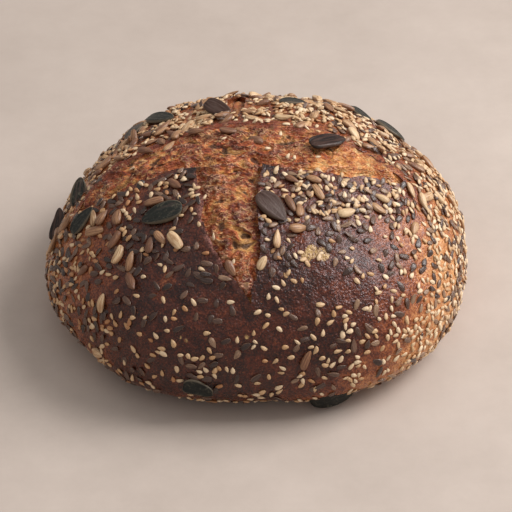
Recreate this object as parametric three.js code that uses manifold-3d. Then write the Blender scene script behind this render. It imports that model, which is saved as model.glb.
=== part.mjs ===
// A round seeded grain loaf, baked free on a hearth and scored with a cross that has opened.
// Millimetres, +Z up. The origin is the middle of the flat underside. The front of the loaf faces -Y.
import * as THREE from "three";
import { mergeVertices } from "three/addons/utils/BufferGeometryUtils.js";
import Module from "manifold-3d";

// The loaf without its seeds.
const HALF_WIDTH = 81.2; // along X, at the widest height
const HALF_DEPTH = 77.9; // along Y, at the widest height
const BULGE_HEIGHT = 15; // height of the widest point above the table
const DOME_RISE = 57.7; // from the widest point up to the top
const BELLY_DROP = 26; // how far the belly would reach below the widest point without the table
const PLAN_POWER = 2.28; // 2 is an ellipse, more is squarer
const DOME_POWER = 2;
const BELLY_POWER = 2;
const MIDDLE_X = 1.0; // moves the whole loaf so that its box is centred on the origin
const MIDDLE_Y = -1.1;
// Where the loaf is lower than its even form: degrees down from the top, degrees round from +X,
// depth in millimetres and reach in degrees.
const DIPS = [
  { down: 48, round: 142, depth: 6, reach: 24 },
  { down: 58, round: 32, depth: 3.5, reach: 18 },
  { down: 104, round: -35, depth: 3.6, reach: 26 },
  { down: 104, round: -140, depth: 1.5, reach: 26 },
  { down: 50, round: 90, depth: 0.9, reach: 22 },
];

// Uneven oven spring: slow waves over the whole crust.
const WAVE_COUNT = 9;
const WAVE_SIZE = 0.55; // height of each wave
const WAVE_SLOWEST = 2.2; // waves per radian of turn about the middle
const WAVE_FASTEST = 8;
const WAVE_SEED = 11;

// The cross score, in plan, from the loaf's middle.
// The two side arms: how far across, and there the near and the far edge.
const SIDE_EDGES = [
  [-72, -8, -8],
  [-66.5, -8.2, -2.5],
  [-60, -11, 8],
  [-53, -11.6, 12.4],
  [-44, -10.8, 12.2],
  [-34, -9.4, 14.2],
  [-24, -9.6, 18.8],
  [-12, -9.7, 18.5],
  [1, -9.9, 15.6],
  [12, -12.2, 13.3],
  [24, -12.9, 10],
  [35, -12.1, 6.9],
  [44, -9.2, 3],
  [52, -7.4, -1.8],
  [57, -5.4, -5],
];
const SIDE_LEAST = 3; // the half width that stands for narrower places of the side arms
// The front arm: how far down the front, and there the left and the right edge.
const FRONT_EDGES = [
  [4, -23.8, 1.4],
  [9.8, -23.8, 1.4],
  [20, -21.7, 0.9],
  [28, -20.9, 0.1],
  [37, -20.4, 0.5],
  [43, -18.5, 1.3],
  [48, -15.9, 1.1],
  [53, -12.5, 0],
  [57.5, -8.6, -1.2],
  [61, -5, -2.3],
  [63.5, -2.6, -2.6],
];
const BACK_ARM = { startY: 26, reach: 34, halfWidth: 3.6, middleX: -8 };
const RAGGED = 0.55; // how far the torn edge of the crust wanders
const RAGGED_STEP = 3.4; // distance between the points of that edge
const SIDE_LEAN = 0.45; // the side arms' cut leans back: its far wall is undercut, its near wall slopes
const CUT_DEPTH = 9; // below the crust
const CUT_ABOVE = 20;

// The lips that the crust raises along the cut, and the torn crumb that fills it.
const LIP_RISE = 1.3;
const EAR_RISE = 0.9; // along the far side of the side arms
const LIP_REACH = 5;
const EAR_REACH = 14; // how far from the cut the far side's lip begins
const LIP_FADE = [-0.1, 0.35]; // upward parts of the direction between which the lips begin
// The torn crumb: heights above the plain crust at the cut's edges and in its middle.
const CRUMB_NEAR = -1.7;
const CRUMB_TIP = -0.4; // at the front arm's point
const CRUMB_FAR = 0.5;
const CRUMB_BACK = -3.5; // in the back arm
const CRUMB_CENTRE = 0.7;
const CRUMB_RISE_REACH = 7; // how far from an edge the crumb has its middle height
const CRUMB_HIDDEN = 7; // how much deeper the crumb lies under the crust
const CRUMB_SINK = [1, 8]; // distances from the cut between which it goes down to that depth
const CRUMB_LOWEST = [0, 0.25]; // upward parts of the direction, downwards, between which it does so too
const TIP_SPAN = [34, 60]; // millimetres down the front between which the crumb climbs to the tip's height
const BACK_SPAN_Y = [22, 26]; // the same for the back arm, towards the back
const CRUMB_WAVE_SIZE = 0.26;
const CRUMB_SLOWEST = 24;
const CRUMB_FASTEST = 48;
const CRUMB_SEED = 5;

// Facets.
const CRUST_DETAIL = 11;
const CRUMB_DETAIL = 13;
const CRUST_CROWDING = 0.16; // share of the facets' turn that is moved from the underside to the top
const CRUMB_CROWDING = 0.4;

// Seeds: length, width and thickness, and how far their middle lies above the crust as a share of that.
const PUMPKIN = { size: [16, 8.4, 2.6], taper: 0.12, sides: 8, rings: 4, lift: 0.3 };
const SUNFLOWER = { size: [7.6, 3.9, 2.5], taper: 0.22, sides: 5, rings: 3, lift: 0.2 };
const SIZE_SPREAD = 0.12;
const SUNFLOWER_COUNT = 100;
const SUNFLOWER_GAP = 5.6; // least distance between the middles of two sunflower kernels
const PUMPKIN_GAP = 7.5; // least distance from the middle of a kernel to that of a pumpkin seed
const SCORE_MARGIN = 2.2; // seeds keep this far from the cut
const LOWEST_SEED = 96; // degrees down from the top
const SEEDED_CAP = [46, 72]; // degrees from the top between which the big seeds thin out
const SPARSE_SHARE = 0.14; // how many of them remain below that
const PLACING_SEED = 29;
const MOST_TRIES = 40000;

// The pumpkin seeds that the photograph shows, as degrees down from the top, degrees round from +X,
// degrees of turn on the crust and a share of the usual size. Some are leaned over, by slopes along
// and across them. The lift out of the crust is in millimetres.
const PUMPKIN_PLACES = [
  { down: 44, round: -141, spin: 243, share: 1.0, lift: 0.3 },
  { down: 31, round: -81, spin: 301, share: 1.0, lift: 0.3 },
  { down: 73, round: 166, spin: 147, share: 0.72, lean: [-0.5, -1.54], lift: 1.2 },
  { down: 82, round: 172, spin: 151, share: 0.85, lean: [-0.19, -0.48], lift: 0.8 },
  { down: 65, round: -169, spin: 110, share: 0.92, lean: [0.05, -0.45], lift: 0.8 },
  { down: 56, round: 132, spin: 94, share: 0.95, lift: 0.6 },
  { down: 41, round: 113, spin: 114, share: 0.72, lean: [0.46, -0.37], lift: 0.6 },
  { down: 26, round: 14, spin: 280, share: 0.88, lift: 0.8 },
  { down: 37, round: 69, spin: 190, share: 0.7, lean: [0.02, -0.1], lift: 0.3 },
  { down: 61, round: 51, spin: 172, share: 0.75, lean: [0.15, -0.19], lift: 0.5 },
  { down: 68, round: 42, spin: 202, share: 0.95, lean: [0.04, -0.17], lift: 0.5 },
  { down: 89, round: -106, spin: 344, share: 0.75, lean: [-0.04, 0.23], lift: 0.2 },
  { down: 96, round: -68, spin: 21, share: 1.05, lean: [0.06, 0.77], lift: 0.4 },
];
// More of them round the back, in two rows.
const BACK_PUMPKINS = 9;
const BACK_SPAN = [36, 146]; // degrees round from +X
const BACK_DOWN = [68, 84]; // degrees down from the top, in turn
const BACK_SCATTER = 6; // degrees up or down from the row
const BACK_SEED = 17;

const CRUST_COLOUR = 0x5a3424;

const NORMAL_STEP = 0.03; // radians to each side of the place where the crust's direction is measured
const WELD = 1e-4;

const wasm = await Module();
wasm.setup();

const radians = THREE.MathUtils.degToRad;
const smoothstep = THREE.MathUtils.smoothstep;

// A small repeatable source of numbers from 0 to 1.
function randomFrom(seed) {
  let state = seed >>> 0;
  return () => {
    state = (state + 0x6d2b79f5) >>> 0;
    let t = Math.imul(state ^ (state >>> 15), state | 1);
    t = (t + Math.imul(t ^ (t >>> 7), t | 61)) ^ t;
    return ((t ^ (t >>> 14)) >>> 0) / 4294967296;
  };
}

// A field of plane waves with seeded directions, about -1 to 1 each.
function waveField(count, slowest, fastest, seed) {
  const random = randomFrom(seed);
  const waves = [];
  for (let i = 0; i < count; i++) {
    const pace = slowest + ((fastest - slowest) * i) / (count - 1);
    const across = 2 * random() - 1;
    const turn = 2 * Math.PI * random();
    const flat = Math.sqrt(1 - across * across);
    const phase = 2 * Math.PI * random();
    waves.push([pace * flat * Math.cos(turn), pace * flat * Math.sin(turn), pace * across, phase]);
  }
  const height = (d, [a, b, c, phase]) => Math.sin(a * d.x + b * d.y + c * d.z + phase);
  return (d) => waves.reduce((sum, wave) => sum + height(d, wave), 0);
}

const dipSpots = DIPS.map(({ down, round, depth, reach }) => {
  return { towards: directionAt(radians(down), radians(round)), depth, reach: radians(reach) };
});
const springWaves = waveField(WAVE_COUNT, WAVE_SLOWEST, WAVE_FASTEST, WAVE_SEED);
const crumbWaves = waveField(WAVE_COUNT, CRUMB_SLOWEST, CRUMB_FASTEST, CRUMB_SEED);

// A point of the plan as a share of the way from the loaf's middle to its widest outline.
function planShare(x, y) {
  const across = Math.abs(x / HALF_WIDTH) ** PLAN_POWER;
  const along = Math.abs(y / HALF_DEPTH) ** PLAN_POWER;
  return (across + along) ** (1 / PLAN_POWER);
}

// Distance from the loaf's middle to the plain crust, along a unit direction.
function plainRadius(d) {
  const [height, power] = d.z >= 0 ? [DOME_RISE, DOME_POWER] : [BELLY_DROP, BELLY_POWER];
  const even = (planShare(d.x, d.y) ** power + Math.abs(d.z / height) ** power) ** (-1 / power);
  return even - dip(d);
}

function dip(d) {
  const depthAt = (spot) => spot.depth * Math.exp(-((d.angleTo(spot.towards) / spot.reach) ** 2));
  return dipSpots.reduce((sum, spot) => sum + depthAt(spot), 0);
}

// Height of the even form over a point of the plan, on the upper half.
function plainHeight(x, y) {
  return BULGE_HEIGHT + DOME_RISE * Math.max(0, 1 - planShare(x, y) ** DOME_POWER) ** (1 / DOME_POWER);
}

// The two edges of an arm of the score at a place along it.
function edgesAt(place, stations) {
  const next = stations.findIndex(([along]) => along > place);
  if (next === 0) return stations[0].slice(1);
  if (next < 0) return stations.at(-1).slice(1);
  const [before, after] = [stations[next - 1], stations[next]];
  const t = (place - before[0]) / (after[0] - before[0]);
  return [1, 2].map((k) => before[k] + t * (after[k] - before[k]));
}

// How far a point lies inside an arm's edges. It is negative outside.
function insideArm(along, aside, stations) {
  const [low, high] = edgesAt(along, stations);
  const inside = Math.min(aside - low, high - aside);
  const off = Math.max(stations[0][0] - along, along - stations.at(-1)[0], 0);
  return off > 0 ? -Math.hypot(off, Math.min(inside, 0)) : inside;
}

function halfBackArm(t) {
  return BACK_ARM.halfWidth * Math.sin(Math.PI * t);
}

function insideBackArm(x, y) {
  const t = (y - BACK_ARM.startY) / BACK_ARM.reach;
  const aside = Math.abs(x - BACK_ARM.middleX);
  if (t > 0 && t < 1) return halfBackArm(t) - aside;
  return -Math.hypot((t < 0 ? -t : t - 1) * BACK_ARM.reach, aside);
}

function insideScore(x, y) {
  return Math.max(insideArm(x, y, SIDE_EDGES), insideArm(-y, x, FRONT_EDGES), insideBackArm(x, y));
}

// -1 at the side arms' near edge, 1 at their far edge.
function acrossSideArms(x, y) {
  const [near, far] = edgesAt(x, SIDE_EDGES);
  return (y - (near + far) / 2) / Math.max((far - near) / 2, SIDE_LEAST);
}

// The crust's lift beside the cut.
function lip(x, y) {
  const beside = smoothstep(insideArm(x, y, SIDE_EDGES), -EAR_REACH, 0);
  const far = smoothstep(acrossSideArms(x, y), 0, 0.9) * beside;
  const rise = LIP_RISE + (EAR_RISE - LIP_RISE) * far;
  return rise * Math.exp(Math.min(0, insideScore(x, y)) / LIP_REACH);
}

// A radius is cut short where it would pass through the table.
function aboveTable(radius, d) {
  return d.z < 0 ? Math.min(radius, BULGE_HEIGHT / -d.z) : radius;
}

function crustRadius(d) {
  const plain = plainRadius(d);
  const top = smoothstep(d.z, ...LIP_FADE);
  const waves = WAVE_SIZE * springWaves(d);
  return aboveTable(plain + waves + top * lip(plain * d.x, plain * d.y), d);
}

// Height of the smooth crumb above the plain crust.
function crumbLevel(x, y, inside) {
  const lerp = THREE.MathUtils.lerp;
  const near = lerp(CRUMB_NEAR, CRUMB_TIP, smoothstep(-y, ...TIP_SPAN));
  const sides = lerp(near, CRUMB_FAR, smoothstep(acrossSideArms(x, y), -0.3, 0.7));
  const edge = lerp(sides, CRUMB_BACK, smoothstep(y, ...BACK_SPAN_Y));
  return lerp(edge, y > BACK_SPAN_Y[0] ? edge : CRUMB_CENTRE, smoothstep(inside, 0, CRUMB_RISE_REACH));
}

function crumbRadius(d) {
  const plain = plainRadius(d);
  const [x, y] = [plain * d.x, plain * d.y];
  const inside = insideScore(x, y);
  const level = crumbLevel(x, y, inside) + CRUMB_WAVE_SIZE * crumbWaves(d);
  const away = Math.max(smoothstep(-inside, ...CRUMB_SINK), 1 - smoothstep(d.z, ...CRUMB_LOWEST));
  return aboveTable(plain + WAVE_SIZE * springWaves(d), d) + level - CRUMB_HIDDEN * away;
}

// A closed body around the loaf's middle, from a rule that gives its radius in each direction.
function roundBody(radiusOf, detail, crowding) {
  const geometry = new THREE.IcosahedronGeometry(1, detail);
  const position = geometry.getAttribute("position");
  const d = new THREE.Vector3();
  for (let i = 0; i < position.count; i++) {
    d.fromBufferAttribute(position, i).normalize();
    const down = Math.acos(THREE.MathUtils.clamp(d.z, -1, 1));
    const round = Math.atan2(d.y, d.x);
    d.copy(directionAt(down * (1 - crowding * (1 - down / Math.PI)), round));
    const p = d.clone().multiplyScalar(radiusOf(d));
    position.setXYZ(i, p.x + MIDDLE_X, p.y + MIDDLE_Y, p.z + BULGE_HEIGHT);
  }
  return geometry;
}

function directionAt(down, round) {
  const flat = Math.sin(down);
  return new THREE.Vector3(flat * Math.cos(round), flat * Math.sin(round), Math.cos(down));
}

// A three.js geometry as a manifold-3d solid, and back.
function solidOf(geometry) {
  const bare = geometry.clone();
  for (const name of Object.keys(bare.attributes)) {
    if (name !== "position") bare.deleteAttribute(name);
  }
  const merged = mergeVertices(bare, WELD);
  return new wasm.Manifold(
    new wasm.Mesh({
      numProp: 3,
      vertProperties: new Float32Array(merged.attributes.position.array),
      triVerts: new Uint32Array(merged.index.array),
    }),
  );
}

function geometryOf(solid) {
  const mesh = solid.getMesh();
  const geometry = new THREE.BufferGeometry();
  const points = new Float32Array(mesh.vertProperties);
  geometry.setAttribute("position", new THREE.BufferAttribute(points, 3));
  geometry.setIndex(new THREE.BufferAttribute(new Uint32Array(mesh.triVerts), 1));
  geometry.computeVertexNormals();
  return geometry;
}

// One arm of the cut: its outline extruded, from under the crust to well above it.
// Both edges come from side(t, sign), a point of the plan.
function armCutter(side, length, seed, lean) {
  const random = randomFrom(seed);
  const steps = Math.round(length / RAGGED_STEP);
  const edge = (sign) => {
    const points = [];
    for (let i = 1; i < steps; i++) {
      const [x, y] = side(i / steps, sign);
      points.push(new THREE.Vector2(x + RAGGED * (2 * random() - 1), y + RAGGED * (2 * random() - 1)));
    }
    return points;
  };
  const [startX, startY] = side(0, 0);
  const [endX, endY] = side(1, 0);
  const outline = [
    new THREE.Vector2(startX, startY),
    ...edge(1),
    new THREE.Vector2(endX, endY),
    ...edge(-1).reverse(),
  ];
  const depth = CUT_ABOVE + CUT_DEPTH;
  const geometry = new THREE.ExtrudeGeometry(new THREE.Shape(outline), { depth, bevelEnabled: false });
  const position = geometry.getAttribute("position");
  for (let i = 0; i < position.count; i++) {
    const [x, y] = [position.getX(i), position.getY(i)];
    const above = position.getZ(i) - CUT_DEPTH;
    position.setXYZ(i, x + MIDDLE_X, y - lean * above + MIDDLE_Y, plainHeight(x, y) + above);
  }
  return solidOf(geometry);
}

// The place a share t of the way along an arm, and aside from there the middle or, by sign, an edge.
function armEdge(stations, t, sign) {
  const along = THREE.MathUtils.lerp(stations[0][0], stations.at(-1)[0], t);
  const [low, high] = edgesAt(along, stations);
  return [along, (low + high) / 2 + (sign * (high - low)) / 2];
}

function sideEdge(t, sign) {
  return armEdge(SIDE_EDGES, t, sign);
}

function frontEdge(t, sign) {
  const [down, x] = armEdge(FRONT_EDGES, t, sign);
  return [x, -down];
}

function backEdge(t, sign) {
  return [BACK_ARM.middleX + sign * halfBackArm(t), BACK_ARM.startY + t * BACK_ARM.reach];
}

function lengthOf(stations) {
  return stations.at(-1)[0] - stations[0][0];
}

// The pumpkin seeds: those placed by hand, then the rule's.
function pumpkinPlaces() {
  const random = randomFrom(BACK_SEED);
  const places = [...PUMPKIN_PLACES];
  for (let i = 0; i < BACK_PUMPKINS; i++) {
    places.push({
      down: BACK_DOWN[i % 2] + BACK_SCATTER * (2 * random() - 1),
      round: BACK_SPAN[0] + ((BACK_SPAN[1] - BACK_SPAN[0]) * (i + 0.5)) / BACK_PUMPKINS,
      spin: 360 * random(),
      share: 1 - SIZE_SPREAD * random(),
    });
  }
  return places.map(({ down, round, spin, ...rest }) => {
    return { d: directionAt(radians(down), radians(round)), spin: radians(spin), ...rest };
  });
}

// The sunflower kernels: thrown at random, thinning out down the sides, clear of the cut and of each other.
function sunflowerPlaces(pumpkins) {
  const random = randomFrom(PLACING_SEED);
  const places = [];
  const spots = [];
  const pumpkinSpots = pumpkins.map((p) => crustPoint(p.d));
  for (let tries = 0; tries < MOST_TRIES && places.length < SUNFLOWER_COUNT; tries++) {
    const z = 1 - random() * (1 - Math.cos(radians(LOWEST_SEED)));
    const round = 2 * Math.PI * random();
    const chance = random();
    const spin = 2 * Math.PI * random();
    const share = 1 + SIZE_SPREAD * (2 * random() - 1);
    const down = Math.acos(z);
    const thinning = smoothstep(down, ...SEEDED_CAP.map(radians));
    if (chance > 1 - (1 - SPARSE_SHARE) * thinning) continue;
    const d = directionAt(down, round);
    const plain = plainRadius(d);
    if (insideScore(plain * d.x, plain * d.y) > -SCORE_MARGIN) continue;
    const spot = crustPoint(d);
    if (spots.some((other) => other.distanceTo(spot) < SUNFLOWER_GAP)) continue;
    if (pumpkinSpots.some((other) => other.distanceTo(spot) < PUMPKIN_GAP)) continue;
    spots.push(spot);
    places.push({ d, spin, share });
  }
  return places;
}

function crustPoint(d) {
  const p = d.clone().multiplyScalar(crustRadius(d));
  return p.add(new THREE.Vector3(MIDDLE_X, MIDDLE_Y, BULGE_HEIGHT));
}

// The crust's outward direction, and the level and the upward directions on it.
function crustAxes(d) {
  const aside = new THREE.Vector3(0, 0, 1).cross(d).normalize();
  const ends = [aside, d.clone().cross(aside)].map((step) => {
    const ahead = crustPoint(d.clone().addScaledVector(step, NORMAL_STEP).normalize());
    const behind = crustPoint(d.clone().addScaledVector(step, -NORMAL_STEP).normalize());
    return ahead.sub(behind);
  });
  const normal = ends[0].cross(ends[1]).normalize();
  const east = aside.addScaledVector(normal, -aside.dot(normal)).normalize();
  return { normal, east, north: normal.clone().cross(east) };
}

// A kernel lies on the crust: X is its length, Y its width and Z points out of the crust.
// Its place may lean it over, by slopes along and across it, and lift it out of the crust.
function seedSolid(kind, place) {
  const geometry = new THREE.SphereGeometry(1, kind.sides, kind.rings);
  geometry.rotateZ(-Math.PI / 2);
  const position = geometry.getAttribute("position");
  for (let i = 0; i < position.count; i++) {
    const x = position.getX(i);
    const width = 1 - kind.taper * x;
    position.setXYZ(i, x, position.getY(i) * width, position.getZ(i) * width);
  }
  const [length, breadth, height] = kind.size.map((v) => (v * place.share) / 2);
  geometry.scale(length, breadth, height);
  const { normal, east, north } = crustAxes(place.d);
  const forward = east.multiplyScalar(Math.cos(place.spin)).addScaledVector(north, Math.sin(place.spin));
  const [ahead, aside] = place.lean ?? [0, 0];
  const side = normal.clone().cross(forward);
  const out = normal.clone().addScaledVector(forward, ahead).addScaledVector(side, aside).normalize();
  forward.addScaledVector(out, -forward.dot(out)).normalize();
  const frame = new THREE.Matrix4().makeBasis(forward, out.clone().cross(forward), out);
  const lift = kind.lift * kind.size[2] + (place.lift ?? 0);
  frame.setPosition(crustPoint(place.d).addScaledVector(normal, lift));
  geometry.applyMatrix4(frame);
  return solidOf(geometry);
}

// The crust, less the cut, with the torn crumb in it and the seeds on it, is one solid.
function loafSolid() {
  const crust = solidOf(roundBody(crustRadius, CRUST_DETAIL, CRUST_CROWDING));
  const crumb = solidOf(roundBody(crumbRadius, CRUMB_DETAIL, CRUMB_CROWDING));
  const cut = armCutter(sideEdge, lengthOf(SIDE_EDGES), 1, SIDE_LEAN)
    .add(armCutter(frontEdge, lengthOf(FRONT_EDGES), 2, 0))
    .add(armCutter(backEdge, BACK_ARM.reach, 3, 0));
  let loaf = crust.subtract(cut).add(crumb);
  const pumpkins = pumpkinPlaces();
  for (const place of pumpkins) loaf = loaf.add(seedSolid(PUMPKIN, place));
  for (const place of sunflowerPlaces(pumpkins)) loaf = loaf.add(seedSolid(SUNFLOWER, place));
  return largestBody(loaf);
}

// Slivers that the cut leaves loose are dropped.
function largestBody(solid) {
  return solid.decompose().reduce((largest, body) => (body.volume() > largest.volume() ? body : largest));
}

const loaf = new THREE.Mesh(
  geometryOf(loafSolid()),
  new THREE.MeshStandardMaterial({ color: CRUST_COLOUR, roughness: 0.6, metalness: 0 }),
);
loaf.name = "loaf";

const group = new THREE.Group();
group.add(loaf);

export default group;
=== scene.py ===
"""A seeded grain loaf: crust, torn crumb and four kinds of seed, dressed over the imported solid."""

import math

import bmesh
import bpy
import numpy as np
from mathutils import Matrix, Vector, noise


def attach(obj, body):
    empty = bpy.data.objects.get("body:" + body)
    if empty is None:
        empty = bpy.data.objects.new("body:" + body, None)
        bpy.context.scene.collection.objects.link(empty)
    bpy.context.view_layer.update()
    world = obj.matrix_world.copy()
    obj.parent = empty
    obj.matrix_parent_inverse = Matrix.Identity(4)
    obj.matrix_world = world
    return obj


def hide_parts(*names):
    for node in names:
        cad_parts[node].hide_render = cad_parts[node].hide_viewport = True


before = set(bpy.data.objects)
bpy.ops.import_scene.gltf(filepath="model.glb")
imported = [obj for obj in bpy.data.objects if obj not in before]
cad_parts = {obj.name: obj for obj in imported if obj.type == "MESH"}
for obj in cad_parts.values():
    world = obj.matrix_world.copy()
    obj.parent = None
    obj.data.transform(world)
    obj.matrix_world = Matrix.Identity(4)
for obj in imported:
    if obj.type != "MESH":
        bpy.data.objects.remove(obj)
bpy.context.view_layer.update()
noise.seed_set(1)  # the vector noise is seeded by the clock otherwise

MM = 0.001
TINY = 1e-9

# The camera, from a fit of the loaf's outline to the photograph.
ELEVATION = math.radians(39.5)
SIGHT = np.array([0, math.cos(ELEVATION), -math.sin(ELEVATION)])
PICTURE_UP = np.array([0, math.sin(ELEVATION), math.cos(ELEVATION)])
DISTANCE = 900
AIM = np.array([0.15, -12.45, 27.7])  # the point of the loaf at the middle of the picture
CAMERA = AIM - SIGHT * DISTANCE
FRAME_PIXELS = 512
PIXELS_PER_MM = 2.581  # at AIM
SENSOR = 36
CLIP = (0.01, 20)
SEARCH = 260  # how long a stretch of each line of sight is searched for the loaf
SEARCH_STEP = 0.5
TOUCH = 0.05

# The loaf's form, as in the CAD source, in millimetres.
HALF_WIDTH = 81.2
HALF_DEPTH = 77.9
BULGE_HEIGHT = 15
DOME_RISE = 57.7
BELLY_DROP = 26
PLAN_POWER = 2.28  # how square the plan is: 2 is an ellipse, as the sections are
MIDDLE = np.array([1.0, -1.1, BULGE_HEIGHT])
# Where the loaf is lower than its even form: degrees down from the top and round, depth, reach in degrees.
DIPS = ((48, 142, 6, 24), (58, 32, 3.5, 18), (104, -35, 3.6, 26), (104, -140, 1.5, 26), (50, 90, 0.9, 22))
WAVE_COUNT = 9
WAVE_SIZE = 0.55
WAVE_SLOWEST = 2.2
WAVE_FASTEST = 8
WAVE_SEED = 11

# The cross score, as in the CAD source, read off the photograph.
# The two side arms: millimetres across, and there the near and the far edge.
SIDE_EDGES = (
    (-72, -8, -8), (-66.5, -8.2, -2.5), (-60, -11, 8), (-53, -11.6, 12.4), (-44, -10.8, 12.2),
    (-34, -9.4, 14.2), (-24, -9.6, 18.8), (-12, -9.7, 18.5), (1, -9.9, 15.6), (12, -12.2, 13.3),
    (24, -12.9, 10), (35, -12.1, 6.9), (44, -9.2, 3), (52, -7.4, -1.8), (57, -5.4, -5),
)
# The front arm: millimetres down the front, and there the left and the right edge.
FRONT_EDGES = (
    (4, -23.8, 1.4), (9.8, -23.8, 1.4), (20, -21.7, 0.9), (28, -20.9, 0.1), (37, -20.4, 0.5),
    (43, -18.5, 1.3), (48, -15.9, 1.1), (53, -12.5, 0), (57.5, -8.6, -1.2), (61, -5, -2.3),
    (63.5, -2.6, -2.6),
)
BACK_START_Y = 26
BACK_REACH = 34
BACK_HALF_WIDTH = 3.6
BACK_X = -8
LIP_RISE = 1.3
EAR_RISE = 0.9
LIP_REACH = 5
EAR_REACH = 14
SIDE_LEAST = 3  # the half width that stands for narrower places of the side arms
LIP_FADE = (-0.1, 0.35)

# How the score is cut.
SIDE_LEAN = 0.45
CUT_DEPTH = 9
CUT_ABOVE = 20
CUT_STEP = 0.9  # between the outline's points
CUT_ENDS = (0.002, 0.998)  # shares of an arm's length where the cut starts and ends
CUT_LEAST = 0.25  # half its width there
CUT_LEVELS = (-6, -4, -2.5, -1.2, -0.3, 0.6, 1.6, 3)  # heights above the crust of the cut's own edges
LEAN_DEEPEST = -7
RAGGED = ((9.0, 1.7), (2.8, 0.9), (1.1, 0.4))  # wavelength and size of the torn edge's wander
RAGGED_FROM = 2.5  # half width of an arm from which its edges wander in full
RAGGED_UPWARD = 0.6  # how fast the wander changes with height, next to along the edge
RAGGED_SHIFT = 7.7

# The torn crumb in it: heights above the plain crust at the score's edges and in its middle.
CRUMB_FAR = 1.2
CRUMB_BACK = -1.0  # in the back arm
CRUMB_NEAR = -1.7
CRUMB_TIP = -0.4
CRUMB_CENTRE = 0.7
BACK_FROM = (22, 26)  # y where the back arm's crumb begins
TIP_FROM = (34, 60)  # how far down the front the crumb rises to the tip
CRUMB_RISE_REACH = 7  # how far from an edge the crumb has its middle height
CRUMB_HIDDEN = 5
CRUMB_SINK = (2, 9)
PLUG_MARGIN = 4.5  # how far the crumb reaches under the crust
PLUG_DEPTH = 13

# The crumb's relief, sizes across and heights in millimetres.
TWIST_SIZE, TWIST = 6, 2.4
RUMPLE_SIZE, RUMPLE = 11, 1.3
FOLD_LENGTH, FOLD_SIZE = 7.5, 3.8
FRONT_FOLD = 18  # the folds are shorter down the front arm
FOLD_LEAST, FOLD_MORE, GATE_SIZE = 0.8, 1.1, 6.5
CREASE_SIZE, CREASE = 1.9, 0.06
BUBBLE_SIZE, BUBBLE_REACH, BUBBLE = 6.5, 0.55, 1.3
PIT_SIZE, PIT_LEVEL, PIT = 2.4, 0.32, 1.2
PIT_SHIFT = Vector((9, 4, 1))
LAYER_LENGTH, LAYER_SIZE, LAYER, LAYER_SHIFT = 16, 0.95, 0.75, 3.3
LAYER_CALM = 0.6  # how much less the layers along the far edge are rumpled

# Facets.
NORMAL_STEP = 0.03  # radians to each side of the place where the crust's direction is measured
CRUST_DETAIL = 102
CRUMB_DETAIL = 180
CRUST_CROWDING = 0.25  # share of the facets' turn that is moved from the underside to the top
CRUMB_CROWDING = 0.55
WELD = 1e6  # corners that round to the same place on this grid are one


def rise(value, low, high):
    """Goes smoothly from 0 at low to 1 at high."""
    t = np.clip((value - low) / (high - low), 0, 1)
    return t * t * (3 - 2 * t)


def unit(vectors):
    return vectors / np.maximum(np.linalg.norm(vectors, axis=-1, keepdims=True), TINY)


def random_from(seed):
    """The CAD source's random numbers, so that the same seed gives the same waves and places."""
    mask = 0xFFFFFFFF
    state = seed

    def draw():
        nonlocal state
        state = (state + 0x6D2B79F5) & mask
        t = ((state ^ (state >> 15)) * (state | 1)) & mask
        t = (t + (t ^ (t >> 7)) * (t | 61)) & mask ^ t
        return (t ^ (t >> 14)) / 4294967296

    return draw


def wave_field(count, slowest, fastest, seed):
    draw = random_from(seed)
    waves = []
    for i in range(count):
        pace = slowest + (fastest - slowest) * i / (count - 1)
        across = 2 * draw() - 1
        turn = 2 * math.pi * draw()
        flat = math.sqrt(1 - across * across)
        phase = 2 * math.pi * draw()
        waves.append((pace * flat * math.cos(turn), pace * flat * math.sin(turn), pace * across, phase))
    waves = np.array(waves)
    return lambda d: np.sin(d @ waves[:, :3].T + waves[:, 3]).sum(axis=1)


spring_waves = wave_field(WAVE_COUNT, WAVE_SLOWEST, WAVE_FASTEST, WAVE_SEED)


def plan_share(x, y):
    across = np.abs(x / HALF_WIDTH) ** PLAN_POWER
    along = np.abs(y / HALF_DEPTH) ** PLAN_POWER
    return (across + along) ** (1 / PLAN_POWER)


def direction_at(down, round_):
    down, round_ = np.radians(down), np.radians(round_)
    return np.stack([np.sin(down) * np.cos(round_), np.sin(down) * np.sin(round_), np.cos(down)], axis=-1)


def dip(d):
    total = np.zeros(len(d))
    for down, round_, depth, reach in DIPS:
        angle = np.arccos(np.clip(d @ direction_at(down, round_), -1, 1))
        total += depth * np.exp(-((angle / math.radians(reach)) ** 2))
    return total


def plain_radius(d):
    x, y, z = d.T
    upright = z / np.where(z >= 0, DOME_RISE, BELLY_DROP)
    return (plan_share(x, y) ** 2 + upright**2) ** -0.5 - dip(d)


def plain_height(x, y):
    return BULGE_HEIGHT + DOME_RISE * np.maximum(0, 1 - plan_share(x, y) ** 2) ** 0.5


def station_edges(place, stations):
    """The two edges of an arm at a place along it."""
    along, one, other = np.array(stations, float).T
    return np.interp(place, along, one), np.interp(place, along, other)


def inside_arm(along, aside, stations):
    """How far inside an arm's edges a point is, negative outside."""
    low, high = station_edges(along, stations)
    start, end = stations[0][0], stations[-1][0]
    inside = np.minimum(aside - low, high - aside)
    off = np.maximum(np.maximum(start - along, along - end), 0)
    return np.where(off > 0, -np.hypot(off, np.minimum(inside, 0)), inside)


def across_side_arms(x, y):
    """-1 at the side arms' near edge, 1 at their far edge."""
    near, far = station_edges(x, SIDE_EDGES)
    return (y - (near + far) / 2) / np.maximum((far - near) / 2, SIDE_LEAST)


def inside_back_arm(x, y):
    t = (y - BACK_START_Y) / BACK_REACH
    aside = np.abs(x - BACK_X)
    inside = BACK_HALF_WIDTH * np.sin(math.pi * np.clip(t, 0, 1)) - aside
    outside = -np.hypot(np.where(t < 0, -t, t - 1) * BACK_REACH, aside)
    return np.where((t > 0) & (t < 1), inside, outside)


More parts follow.
